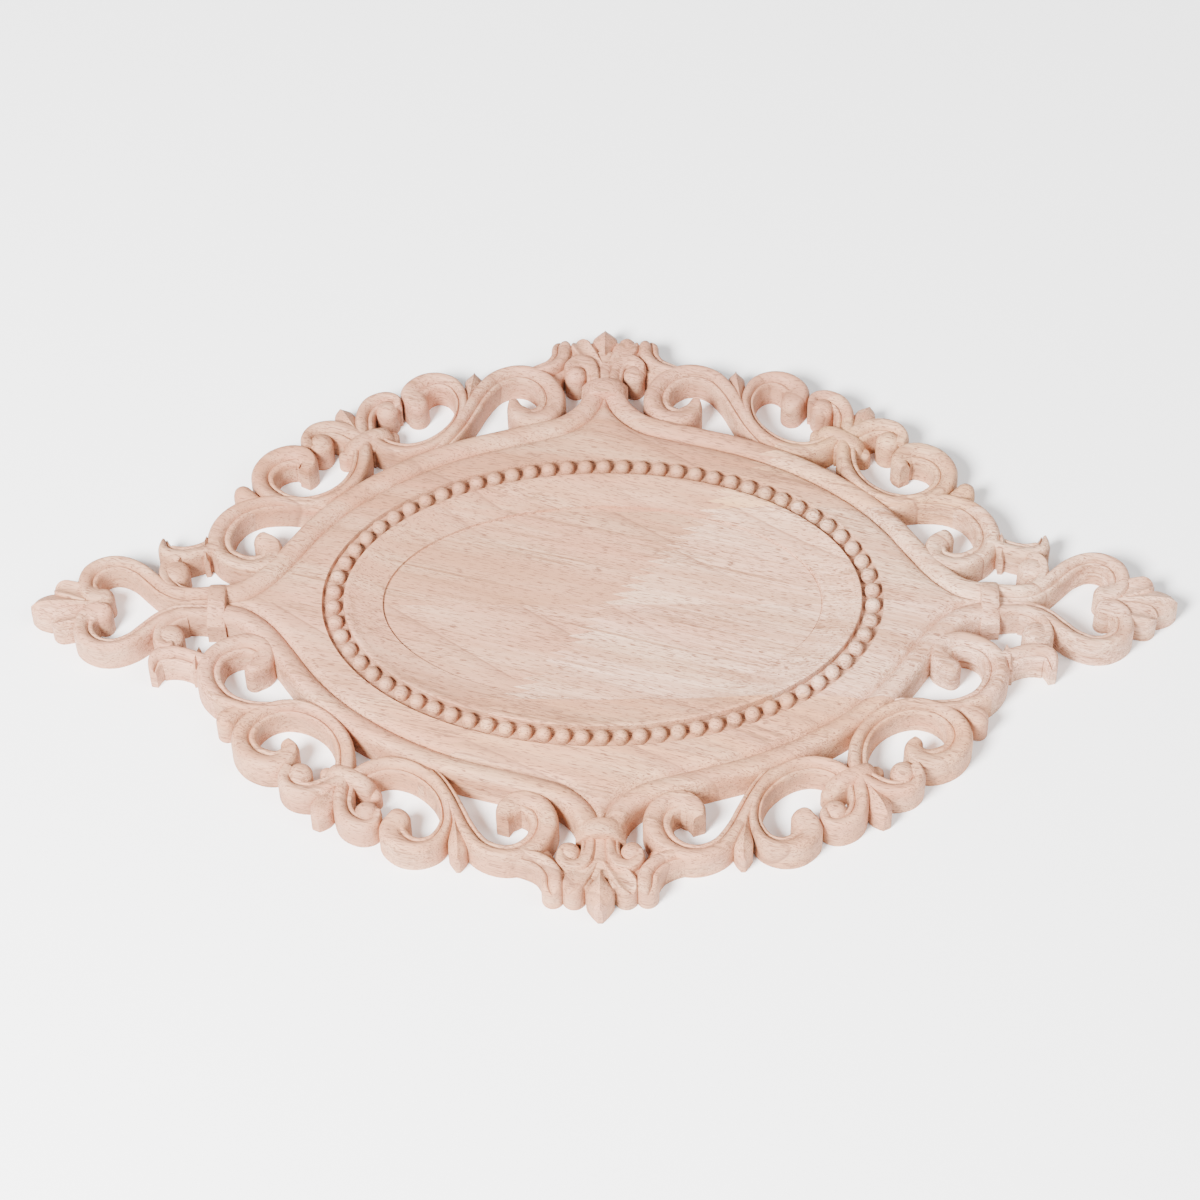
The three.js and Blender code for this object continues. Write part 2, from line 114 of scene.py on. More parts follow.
# One quadrant of the fringe. A knot is (x, y, width) in mm, with or without a rise that scales the height.
STRANDS = (
    # The scroll beside the leaf finial on the short axis, from its hook to the panel.
    dict(eye=RIGHT, section=SCROLL, pads=(17, 0), knots=(
        (33.0, 90.6, 4.2, 0.98), (31.5, 86.3, 7.4), (26.8, 83.4, 8.4), (21, 86, 9.4), (18.9, 92.2, 9.8),
        (21.4, 99, 8.6), (27, 103.2, 7.4), (33.4, 103.9, 6.9), (40, 100.9, 6.8), (45, 94.2, 6.6),
        (48.4, 86.8, 6.2), (51.6, 79.8, 5.4), (55.8, 73.2, 4.8), (61, 67.5, 4.6, 0.82))),
    # Its hooked leaf, which turns out beside the finial.
    dict(eye=RIGHT, section=SCROLL, round_ends=(False, True), knots=(
        (31, 104, 5, 0.84), (24.5, 105.6, 5.4), (19.4, 108, 6.4), (16.3, 112, 7.4), (15.8, 116, 7.6))),
    # The small volute of the finial on the short axis.
    dict(eye=LEFT, section=SCROLL, pads=(24, 0), knots=(
        (13, 103.8, 3), (12.6, 106.8, 4.8), (9.6, 109.2, 5.2), (5.8, 108, 5.4), (4.1, 103, 5.2, 0.97),
        (4, 95.6, 5, 0.86))),
    # The ground between the two volutes, and the webs between them, the lobes and the hooked leaf.
    dict(section=ROUND, knots=((0, 92, 6, 0.84), (0, 98, 6.4, 0.86), (0, 106, 7, 0.88), (0, 114, 10, 0.86))),
    dict(section=ROUND, knots=((11.4, 108.4, 5, 0.68), (15, 108.6, 5, 0.66), (20, 103.4, 8, 0.66))),
    dict(section=ROUND, knots=((12.4, 106, 5, 0.72), (12.1, 115.2, 6, 0.8))),
    dict(section=ROUND, knots=((3.6, 106, 6, 0.84), (5.4, 118, 6, 0.84))),
    # The open scroll next to it, from its blunt end to the knot.
    dict(eye=LEFT, section=SCROLL, round_ends=(True, False), pads=(16, 0), knots=(
        (67.8, 90.2, 8.2), (69.5, 94.8, 9.6), (66, 99.4, 8.2), (60.6, 100.9, 6.4), (55.2, 98.6, 5.8),
        (52.1, 92.8, 5), (52, 86.6, 4.4), (54, 80.2, 4.8), (58.4, 74.4, 5.6), (64.4, 70.2, 6.2),
        (71.4, 68.6, 6.4), (78, 70.2, 6.6), (83, 74, 6.6))),
    # The ball volutes on both sides of the knot.
    dict(eye=RIGHT, section=SCROLL, pads=(6, 0), knots=(
        (74.8, 87.6, 3), (76.2, 91.2, 5), (80.2, 91.9, 6.4), (84.8, 89.2, 7), (86.8, 84, 6.8),
        (86.4, 77, 7), (86, 73.6, 6.6))),
    dict(eye=LEFT, section=SCROLL, pads=(6, 0), knots=(
        (105.8, 69.6, 4), (106.6, 73.6, 5.8), (104, 77.2, 6.6), (98.8, 78.4, 7), (93.6, 77, 7.4),
        (88, 73, 7))),
    # The strap of the knot, arched over the stems that meet there, and the ground under them.
    dict(section=ROUND, round_ends=(True, True), knots=(
        (93.0, 69.2, 5.4, 0.6), (91.7, 69.9, 6.2, 0.84), (89.2, 71.2, 6.6, 0.99), (84.8, 73.5, 6.9, 1.07),
        (80.3, 75.8, 6.6, 0.99), (77.8, 77.1, 6.2, 0.84), (76.7, 77.7, 5.4, 0.6))),
    dict(section=ROUND, knots=((82, 70.6, 4.6, 0.84), (89, 72.6, 4.6, 0.84))),
    dict(section=ROUND, knots=((92.6, 46.7, 3.4, 0.78), (97.2, 45, 3.4, 0.78))),
    # The scroll between the knot and the end, from its hook back to the knot.
    dict(eye=RIGHT, section=SCROLL, pads=(15, 0), knots=(
        (107.5, 59.1, 3.8, 0.98), (105.9, 62.3, 6.8), (108.6, 65.8, 8.2), (113.6, 66.1, 8.8),
        (119, 63.2, 8.8), (121.9, 57.6, 8.8), (120.4, 51.4, 7.8), (115.2, 46.8, 6.4), (108.6, 44.6, 6.2),
        (102, 45.4, 6.2), (96, 48.4, 6), (91.2, 53, 6), (88, 58.8, 6.6), (86.8, 65, 7), (87, 71, 7))),
    # The large scroll nearest to the end, from its hook to the panel.
    dict(eye=LEFT, section=SCROLL, round_ends=(True, False), pads=(17, 0), knots=(
        (120.4, 27.8, 6.4), (117.2, 24.8, 7.8), (117.8, 19.8, 8.4), (122.6, 17.4, 8), (128.2, 18.4, 7.6),
        (133.4, 22, 8), (135.7, 28, 8.8), (134.2, 34.8, 8.4), (129.4, 40.6, 7), (122, 43.8, 5.6),
        (114, 44.4, 5.2), (108, 43.9, 5), (102.5, 43.3, 5, 0.99), (97, 42.6, 4.6, 0.8))),
    # Its hooked leaf and the small bract where the leaf leaves it.
    dict(eye=LEFT, section=SCROLL, knots=(
        (136, 26.6, 7.6), (142.6, 23.4, 6.4), (148.8, 22, 7), (154, 23.6, 6.2), (155.2, 28.6, 2.4, 0.85))),
    dict(section=LEAF, knots=((140.2, 28.8, 2, 0.92), (140.4, 24.4, 3.8, 1.0), (139.6, 19.2, 1.6, 0.88))),
    # The ball volute that turns back from the neck at the end.
    dict(eye=RIGHT, section=SCROLL, pads=(20, 0), knots=(
        (149.2, 17.6, 3.2), (151.2, 18.5, 4.4), (153.6, 15.6, 4.8), (153, 10.6, 4.8),
        (149, 6.2, 5.2), (145.5, 4.6, 5.4))),
    # The scroll round the heart, from its end on the long axis to the neck.
    dict(eye=LEFT, section=SCROLL, round_ends=(True, False), pads=(15, 0), knots=(
        (174.2, 3.5, 6.6), (177.4, 3.4, 7.4), (180.4, 7.4, 7.4), (179.7, 13.2, 7.4), (175.2, 17, 6.2),
        (169.4, 17.6, 5.7), (163.4, 15, 6), (158.6, 10.6, 6.4), (154, 6.2, 6.4), (148, 3.4, 7),
        (141, 3.2, 7), (135.6, 3.6, 7.6))),
    # Buds and leaf tips between the scrolls.
    dict(section=LEAF, knots=(
        (49.8, 84, 1, 0.9), (48.6, 94, 4, 1), (47.7, 100.8, 6.6, 1), (47.7, 105.4, 1.4, 0.75))),
    dict(section=LEAF, knots=(
        (88, 74.6, 4, 0.94), (91, 79.4, 6, 0.96), (93.8, 84, 8, 0.98), (95.6, 87.2, 5, 0.86),
        (96.2, 88.5, 2.6, 0.66))),
    dict(section=ROUND, round_ends=(False, True), knots=((122, 44, 5, 0.9), (128.5, 48.8, 7))),
    # Side lobes of the two leaf finials.
    dict(section=CUPPED, round_ends=(False, True), knots=(
        (2, 106, 5.4, 0.9), (5.9, 111.6, 7.6, 0.98), (8.7, 116.2, 8.2, 1.0))),
    dict(section=CUPPED, round_ends=(False, True), knots=(
        (180, 3, 6, 0.95), (184.8, 5.2, 8.4), (188.4, 6.2, 8))),
)

# Ball eyes of the small volutes, as (x, y, radius), and the height of their tops and shoulders, in mm.
BALLS = ((10.6, 103.6, 3.9), (78.6, 87.3, 4.2), (101.9, 71.8, 4.4), (150.2, 14.0, 5.1))
BALL_TOP = 12.6
BALL_SHOULDER = 9.0

# The panel's edge moulding, from the neck on the short axis to the neck on the long one, in mm. The panel's own
# edge follows the moulding's middle, but leaves it near the axes and meets them at the panel's end and side.
PANEL_END = 134.6
PANEL_SIDE = 94.8
NEAR_AXIS = 4.2
MOULDING_WIDTH = 8.5
MOULDING_PATH = tuple((x, y, MOULDING_WIDTH) for x, y in (
    (3.8, 95.5), (4, 92), (7.4, 85.6), (14, 80), (23, 76.8), (36, 73.2), (51, 68.6), (66, 62), (80, 53.6),
    (92, 44.2), (102, 33.4), (110, 22), (117, 12.6), (124, 6.5), (130, 4.2), (135, 3.7)))

# Leaf finials on the axes, as paths that run out to their tips, and the clasps across the necks.
END_LEAF = (
    (175, 0, 6, 0.9), (180, 0, 6, 0.95), (187, 0, 9, 1), (192, 0, 11, 1), (197.4, 0, 7.6, 0.9),
    (200, 0, 2.4, 0.7))
SIDE_LEAF = (
    (0, 111.8, 1.2, 0.98), (0, 115.2, 5.0, 1.07), (0, 119.2, 9.6, 1.08), (0, 122.6, 6.4, 0.96),
    (0, 125.5, 1.6, 0.72))
# A clasp's arch, as (share of its reach from the axis, rise), and each clasp's reach, width and rise.
CLASP_ARCH = ((-1, 0.68), (-0.62, 0.98), (0, 1.1), (0.62, 0.98), (1, 0.68))
END_CLASP_REACH = 9.3
END_CLASP_WIDTH = 6.5
END_CLASP_RISE = 1.05
SIDE_CLASP_AT = 95.6
SIDE_CLASP_REACH = 8.4
SIDE_CLASP_WIDTH = 7.0
SIDE_CLASP_RISE = 1.06
END_CLASP = tuple(
    (PANEL_END, END_CLASP_REACH * share, END_CLASP_WIDTH, END_CLASP_RISE * rise)
    for share, rise in CLASP_ARCH)
SIDE_CLASP = tuple(
    (SIDE_CLASP_REACH * share, SIDE_CLASP_AT, SIDE_CLASP_WIDTH, SIDE_CLASP_RISE * rise)
    for share, rise in CLASP_ARCH)
# What stands on the axes: its section, its path and the axis along which its mirror image lies.
AXIAL = ((LEAF, END_LEAF, 0), (LEAF, SIDE_LEAF, 1), (BAND, END_CLASP, 0), (BAND, SIDE_CLASP, 1))

# Panel, in mm: the oval through the middles of the pearls, the channel that they stand in, and the dish.
RING = (188.0, 117.4)
CHANNEL_WIDTH = 7.9
DISH = (153.6, 84.4)
THICKNESS = 15.0
CHANNEL_HEIGHT = 10.5
RIM_HEIGHT = 13.8
FIELD_HEIGHT = 12.6
# The field's height by its distance from the middle of the moulding, down to the groove at the moulding's foot,
# and the steps in which it goes on from there to the channel.
FIELD = (
    (0, 9.2), (3.4, 9.3), (3.8, 9.6), (4.2, 10.4), (4.8, 11.15), (5.6, 11.6), (6.8, 11.95), (8.4, 12.15),
    (10, 12.25))
FIELD_STEPS = 4
# The channel's cross-section, from its outer edge in and over the lip, as (mm out from its inner edge, height).
CHANNEL = (
    (CHANNEL_WIDTH - 0.15, FIELD_HEIGHT - 0.35), (CHANNEL_WIDTH - 0.4, CHANNEL_HEIGHT + 0.15),
    (CHANNEL_WIDTH - 0.8, CHANNEL_HEIGHT), (0.8, CHANNEL_HEIGHT), (0.4, CHANNEL_HEIGHT + 0.2),
    (0.15, RIM_HEIGHT - 0.35), (-0.1, RIM_HEIGHT - 0.05), (-0.5, RIM_HEIGHT), (-1.2, RIM_HEIGHT - 0.1),
)
# The dish's side: its rings, the share of the way to the channel that it starts from, and how hollow it is. It
# ends in a small step down to the floor, round which the cutter leaves a fine groove, as (that share, height).
DISH_HEIGHT = 10.2
DISH_STEP = 0.8
DISH_RINGS = 8
DISH_REACH = 0.9
DISH_HOLLOW = 0.3
DISH_GROOVE = ((-0.012, DISH_HEIGHT - 0.25), (-0.035, DISH_HEIGHT - 0.25), (-0.05, DISH_HEIGHT))
DISH_INSET = 8
PEARL_DIAMETER = 5.2
PEARL_COUNT = 74
PEARL_FOOT = CHANNEL_HEIGHT - 0.3

# The board, in mm: strips along X, each of two pieces with a finger joint. JOINT_LEAN is how far the joint
# moves along the strips for each mm across them.
STRIP_WIDTH = 41
STRIP_EDGE = -1
JOINT_AT = 0
JOINT_LEAN = 0.85
TOOTH_PITCH = 3.6
TOOTH_LENGTH = 8
# How far the grain's patterns move from one strip to the next, in m, so that each piece has its own.
STRIP_SHIFT = (0.37, 0.193, 0.71)
# The pieces' tints, as sRGB hex values: strip by strip from the near side, left and then right of the joint, with
# one for the nearest strip. The middle tint is left of the joint in the strip that starts at STRIP_EDGE.
TINTS = (
    "C4957B", "B78469", "C08B69", "BB8463", "C48E69", "BB8B71", "D3AC94", "B28165", "D4AE93", "AE785A",
    "C4956D", "B07E66", "BE8D6B", "B3846C")
MIDDLE_TINT = 7

# Patterns along the grain: a patch's length and width in mm, the detail and roughness of its noise, and the
# stops between which it shows, as (noise, share). The pores, which are the vessels cut open, are drawn wider
# than real ones, so that they show.
PATTERNS = dict(
    streaks=(110, 5.5, 4.0, 0.55, ((0.42, 0.0), (0.64, 0.75))),
    broad=(60, 16, 1.0, 0.5, ((0.42, 0.0), (0.68, 0.4))),
    patches=(75, 9, 3.0, 0.5, ((0.46, 0.0), (0.68, 0.34))),
    fibres=(26, 0.7, 3.0, 0.6, ((0.4, 0.0), (0.64, 0.5))),
    lines=(55, 1.1, 2.0, 0.5, ((0.51, 0.0), (0.67, 1.0))),
    dense=(70, 8, 2.0, 0.5, ((0.4, 0.1), (0.62, 0.95))),
    figured=(130, 30, 0.0, 0.5, ((0.42, 0.1), (0.58, 1.0))),
    pores=(3.6, 0.34, 1.0, 0.5, ((0.585, 0.0), (0.635, 0.95))),
)
# How much the dense streaks add to the pores, and what is taken off everywhere.
PORES_ADDED = 0.14
PORES_TAKEN = 0.07
# Growth lines: their pitch and the length of their waves in mm, their lean from the grain in radians, and how
# their colour comes in over a pitch. The wave texture has 20 bands in a length of 2 pi.
GROWTH_PITCH = 26.4
GROWTH_LENGTH = 245.1
GROWTH_LEAN = 0.3
GROWTH_STOPS = ((0.0, 0.0), (0.8, 0.0), (0.96, 0.34), (0.985, 0.85), (1.0, 0.0))
WAVE_BANDS = 20
# Painted shade low down between the pearls, from the channel's floor up, as (share of the thickness, share).
PAINTED_SHADE_STOPS = ((CHANNEL_HEIGHT / THICKNESS, 0.5), (0.86, 0.0))


class AppliqueSettings(bpy.types.PropertyGroup):
    turn: FloatProperty(
        name="Turn per cut", description="Most that a path turns between two cross-sections",
        default=math.radians(7), subtype="ANGLE")
    step: FloatProperty(
        name="Longest step", description="Longest distance between two cross-sections",
        default=3 * MM, unit="LENGTH")
    grain: FloatProperty(
        name="Grain angle", description="How far the grain runs down towards the right",
        default=math.radians(15), subtype="ANGLE")
    streak: StringProperty(
        name="Streaks", description="Colour of the broad darker streaks, as an sRGB hex value",
        default="A5765A")
    pink: StringProperty(
        name="Pink wood", description="Colour of the pinker patches, as an sRGB hex value", default="C78B73")
    pale: StringProperty(
        name="Pale wood", description="Colour of the paler patches, as an sRGB hex value", default="D6B698")
    line: StringProperty(
        name="Fine lines", description="Colour of the fine lines along the grain, as an sRGB hex value",
        default="8F664C")
    vessel: StringProperty(
        name="Vessels", description="Colour of the vessel and growth lines, as an sRGB hex value",
        default="7E5643")
    # The colour of the painted shade low down between the pearls.
    roughness_and_painted_shade: StringProperty(
        name="Painted channel shade", description="Colour low down between the pearls, as an sRGB hex value",
        default="A0755B")
    floor: StringProperty(
        name="Floor", description="Colour of the floor, as an sRGB hex value", default="FCFCFC")
    camera_distance: FloatProperty(
        name="Camera distance", description="From the camera to the middle of the back",
        default=1.389, unit="LENGTH")


def linear(hex_value):
    """An sRGB hex value as a linear colour with alpha."""
    parts = [int(hex_value[i:i + 2], 16) / 255 for i in (0, 2, 4)]
    return tuple(p / 12.92 if p <= 0.04045 else ((p + 0.055) / 1.055) ** 2.4 for p in parts) + (1.0,)


def point_on(knots, t):
    """x, y, width and rise at t from 0 to 1 on the smooth curve through the knots."""
    full = [tuple(k) + (1,) * (4 - len(k)) for k in knots]
    spans = len(full) - 1
    span = min(int(t * spans), spans - 1)
    u = t * spans - span
    p, q, r, s = (full[min(max(span + i, 0), spans)] for i in (-1, 0, 1, 2))
    return tuple(
        q[a] + 0.5 * u * (r[a] - p[a] + u * (
            2 * p[a] - 5 * q[a] + 4 * r[a] - s[a] + u * (3 * q[a] - p[a] - 3 * r[a] + s[a])))
        for a in range(4))


def stations(knots, turn, step):
    """Where cross-sections stand on a path: (x, y, width, rise, heading), closer together in a bend."""
    count = (len(knots) - 1) * TRIED
    found = []
    run = 0
    for i in range(count + 1):
        x, y, across, rise = point_on(knots, i / count)
        x0, y0 = point_on(knots, max(0, i - 0.5) / count)[:2]
        x1, y1 = point_on(knots, min(count, i + 0.5) / count)[:2]
        heading = math.atan2(y1 - y0, x1 - x0)
        run += math.hypot(x1 - x0, y1 - y0)
        if found:
            turned = abs(math.remainder(heading - found[-1][4], math.tau))
            swell = abs(across - found[-1][2])
            lift = abs(rise - found[-1][3])
        if not found or i == count or turned > turn or run > step or swell > SWELL or lift > LIFT:
            if i == count and run < CROWDED * step:
                found.pop()
            found.append((x, y, across, rise, heading))
            run = 0
    return found


def rounded(station, forward):
    """Cross-sections that narrow along a half circle past the last one."""
    x, y, across, rise, heading = station
    row = []
    for degrees in END_CUTS:
        a = math.radians(degrees)
        reach = forward * across * math.sin(a) / 2
        row.append((
            x + reach * math.cos(heading), y + reach * math.sin(heading),
            across * math.cos(a), rise * (END_RISE + (1 - END_RISE) * math.cos(a)), heading))
    return row


def placed(station):
    """The matrix that carries a cross-section of unit width, standing across X, to its station."""
    x, y, across, rise, heading = station
    return (
        Matrix.Translation((x * MM, y * MM, 0))
        @ Matrix.Rotation(heading, 4, "Z")
        @ Matrix.Diagonal((1, across * MM, rise * MM, 1)))


def extruded(bm, ring, edges):
    """The ring of vertices and the edges that an extrusion of a ring's edges makes, in the ring's order."""
    made = bmesh.ops.extrude_edge_only(bm, edges=edges)["geom"]
    fresh = {g for g in made if isinstance(g, bmesh.types.BMVert)}
    follow = [next(e.other_vert(v) for e in v.link_edges if e.other_vert(v) in fresh) for v in ring]
    return follow, [g for g in made if isinstance(g, bmesh.types.BMEdge)]


def sweep(section, row, eye=LEFT, pads=(0, 0)):
    """A closed body from a cross-section carried along a row of stations. Where a hook swells, over the
    lengths in pads from its ends, the cross-section passes over into a pad."""
    bm = bmesh.new()
    along = [0]
    for a, b in zip(row, row[1:]):
        along.append(along[-1] + math.dist(a[:2], b[:2]))

    def cut(index):
        share = 0
        for gone, length in ((along[index], pads[0]), (along[-1] - along[index], pads[1])):
            if length:
                t = min(max(PAD_HOLD * (1 - gone / length), 0), 1)
                share = max(share, t * t * (3 - 2 * t))
        matrix = placed(row[index])
        return [
            matrix @ Vector((
                0, (1 - share) * a[0] * eye + share * b[0] * eye, (1 - share) * a[1] + share * b[1]))
            for a, b in zip(section, PAD if any(pads) else section)]

    ring = [bm.verts.new(place) for place in cut(0)]
    edges = [bm.edges.new((ring[i], ring[(i + 1) % len(ring)])) for i in range(len(ring))]
    start = edges
    for index in range(1, len(row)):
        ring, edges = extruded(bm, ring, edges)
        for vert, place in zip(ring, cut(index)):
            vert.co = place
    bmesh.ops.contextual_create(bm, geom=start)
    bmesh.ops.contextual_create(bm, geom=edges)
    bmesh.ops.recalc_face_normals(bm, faces=bm.faces)
    return bm


def dome(x, y, radius, top, shoulder, foot, sides):
    """A round-topped body of revolution: a half profile spun once about its axis."""
    bm = bmesh.new()
    profile = [(0, top)]
    for i in range(1, DOME_RINGS + 1):
        a = 0.5 * math.pi * i / DOME_RINGS
        profile.append((radius * math.sin(a), shoulder + (top - shoulder) * math.cos(a)))
    profile += [(radius, foot), (0, foot)]
    verts = [bm.verts.new((x * MM + r * MM, y * MM, z * MM)) for r, z in profile]
    edges = [bm.edges.new(pair) for pair in zip(verts, verts[1:])]
    bmesh.ops.spin(
        bm, geom=edges, cent=(x * MM, y * MM, 0), axis=(0, 0, 1), angle=math.tau, steps=sides,
        use_merge=True)
    bmesh.ops.remove_doubles(bm, verts=bm.verts, dist=MERGED)
    bmesh.ops.recalc_face_normals(bm, faces=bm.faces)
    return bm


def as_object(bm, name):
    mesh = bpy.data.meshes.new(name)
    bm.to_mesh(mesh)
    bm.free()
    made = bpy.data.objects.new(name, mesh)
    bpy.context.scene.collection.objects.link(made)
    return made


def united(objects, name):
    """One object from the union of several closed ones, which are removed."""
    base, rest = objects[0], objects[1:]
    for other in rest:
        cut = base.modifiers.new(other.name, "BOOLEAN")
        cut.operation = "UNION"
        cut.solver = "MANIFOLD"
        cut.object = other
    bpy.context.view_layer.update()
    mesh = bpy.data.meshes.new_from_object(base.evaluated_get(bpy.context.evaluated_depsgraph_get()))
    for used in objects:
        old = used.data
        bpy.data.objects.remove(used)
        bpy.data.meshes.remove(old)
    made = bpy.data.objects.new(name, mesh)
    bpy.context.scene.collection.objects.link(made)
    return made


def mirrored(source, axis, name):
    """A mirror image of an object across the plane through the origin, with its faces turned right again."""
    bm = bmesh.new()
    bm.from_mesh(source.data)
    scale = Vector((1, 1, 1))
    scale[axis] = -1
    bmesh.ops.scale(bm, vec=scale, verts=bm.verts)
    bmesh.ops.reverse_faces(bm, faces=bm.faces)
    return as_object(bm, name)


def towards(x, y, oval):
    """The point on an oval of that length and width, in the direction of a point."""
    share = 1 / math.hypot(x / (oval[0] / 2), y / (oval[1] / 2))
    return x * share, y * share


def blend(a, b, t):
    return a[0] + (b[0] - a[0]) * t, a[1] + (b[1] - a[1]) * t


def panel(row):
    """The panel inside the edge moulding, cut ring by ring from that moulding's middle in to the dish."""
    path = [(x, y, heading) for x, y, _, _, heading in row if x > NEAR_AXIS and y > NEAR_AXIS]
    quarter = [(0, PANEL_SIDE, 0)] + path + [(PANEL_END, 0, -math.pi / 2)]
    inside = (RING[0] - CHANNEL_WIDTH, RING[1] - CHANNEL_WIDTH)
    outside = (RING[0] + CHANNEL_WIDTH, RING[1] + CHANNEL_WIDTH)

    def all_round(places):
        """A ring from its places in one quadrant, first on the short axis and last on the long one."""
        half = places + [(x, -y, z) for x, y, z in places[-2::-1]]
        return half + [(-x, y, z) for x, y, z in half[-2:0:-1]]

    def field(offset):
        """A ring at this distance in from the moulding's middle, at right angles to it. Its places go no
        further than the axis, and those that reach the axis are drawn together."""
        tiny = 1e-6
        places = []
        for x, y, heading in quarter[1:-1]:
            inwards = (math.sin(heading), -math.cos(heading))
            room = min(offset, *(at / -way for at, way in zip((x, y), inwards) if way < -tiny))
            height = FIELD[0][1]
            for (d0, h0), (d1, h1) in zip(FIELD, FIELD[1:]):
                if room > d0:
                    height = h0 + (h1 - h0) * min((room - d0) / (d1 - d0), 1)
            places.append((x + inwards[0] * room, y + inwards[1] * room, height))
        places = [(0, PANEL_SIDE, FIELD[0][1])] + places + [(PANEL_END, 0, FIELD[0][1])]
        first = max(i for i, place in enumerate(places) if place[0] < tiny)
        last = min(i for i, place in enumerate(places) if place[1] < tiny)
        return [places[first]] * first + places[first:last] + [places[last]] * (len(places) - last)

    def oval(size, height):
        return [towards(x, y, size) + (height,) for x, y, _ in quarter]

    def channel(offset, height):
        return oval((inside[0] + 2 * offset, inside[1] + 2 * offset), height)

    def slope(share, height):
        return oval(blend(DISH, inside, share), height)

    foot = field(0)
    edge = field(FIELD[-1][0])
    rim = oval(outside, FIELD_HEIGHT)
    rings = [[(x, y, 0) for x, y, _ in foot], foot] + [field(offset) for offset, _ in FIELD[1:]]
    for i in range(1, FIELD_STEPS):
        share = i / FIELD_STEPS
        rings.append([tuple(a + (b - a) * share for a, b in zip(p, q)) for p, q in zip(edge, rim)])
    rings += [rim] + [channel(offset, height) for offset, height in CHANNEL]
    for i in range(1, DISH_RINGS + 1):
        t = DISH_REACH * (1 - i / DISH_RINGS)
        lift = (1 - DISH_HOLLOW) * t + DISH_HOLLOW * t * t
        rings.append(slope(t, DISH_HEIGHT + DISH_STEP + (RIM_HEIGHT - DISH_HEIGHT - DISH_STEP) * lift))
    rings += [slope(share, height) for share, height in DISH_GROOVE]
    rings = [all_round(places) for places in rings]

    bm = bmesh.new()
    ring = [bm.verts.new((x * MM, y * MM, z * MM)) for x, y, z in rings[0]]
    first = edges = [bm.edges.new((ring[i], ring[(i + 1) % len(ring)])) for i in range(len(ring))]
    for places in rings[1:]:
        ring, edges = extruded(bm, ring, edges)
        for vert, (x, y, z) in zip(ring, places):
            vert.co = (x * MM, y * MM, z * MM)
    bmesh.ops.contextual_create(bm, geom=first)
    floor = bmesh.ops.contextual_create(bm, geom=edges)["faces"]
    bmesh.ops.inset_region(bm, faces=floor, thickness=DISH_INSET * MM, use_even_offset=True)
    bmesh.ops.remove_doubles(bm, verts=bm.verts, dist=MERGED)
    bmesh.ops.recalc_face_normals(bm, faces=bm.faces)
    return bm


def pearl_places():
    """Even places round the pearl ring, half a pitch off the long axis."""
    a, b = RING[0] / 2, RING[1] / 2
    fine = 7200
    points = [(a * math.cos(math.tau * i / fine), b * math.sin(math.tau * i / fine)) for i in range(fine + 1)]
    lengths = [0]
    for p, q in zip(points, points[1:]):
        lengths.append(lengths[-1] + math.dist(p, q))
    places = []
    at = 0
    for i in range(PEARL_COUNT):
        target = (i + 0.5) / PEARL_COUNT * lengths[-1]
        while lengths[at] < target:
            at += 1
        places.append(points[at])
    return places


def node(tree, kind, inputs=(), stops=(), **settings):
    """A node with its settings, the (position, colour or grey) stops of its ramp, and its inputs, each of
    which is a value, a socket or a node that gives its first output."""
    made = tree.nodes.new("ShaderNode" + kind)
    for key, value in settings.items():
        setattr(made, key, value)
    for key, value in dict(inputs).items():
        if isinstance(value, bpy.types.Node):
            value = value.outputs[0]
        if isinstance(value, bpy.types.NodeSocket):
            tree.links.new(value, made.inputs[key])
        else:
            made.inputs[key].default_value = value
    for _ in stops[2:]:
        made.color_ramp.elements.new(0.5)
    for index, (position, colour) in enumerate(stops):
        element = made.color_ramp.elements[index]
        element.position = position
        element.color = colour if isinstance(colour, tuple) else (colour, colour, colour, 1)
    return made


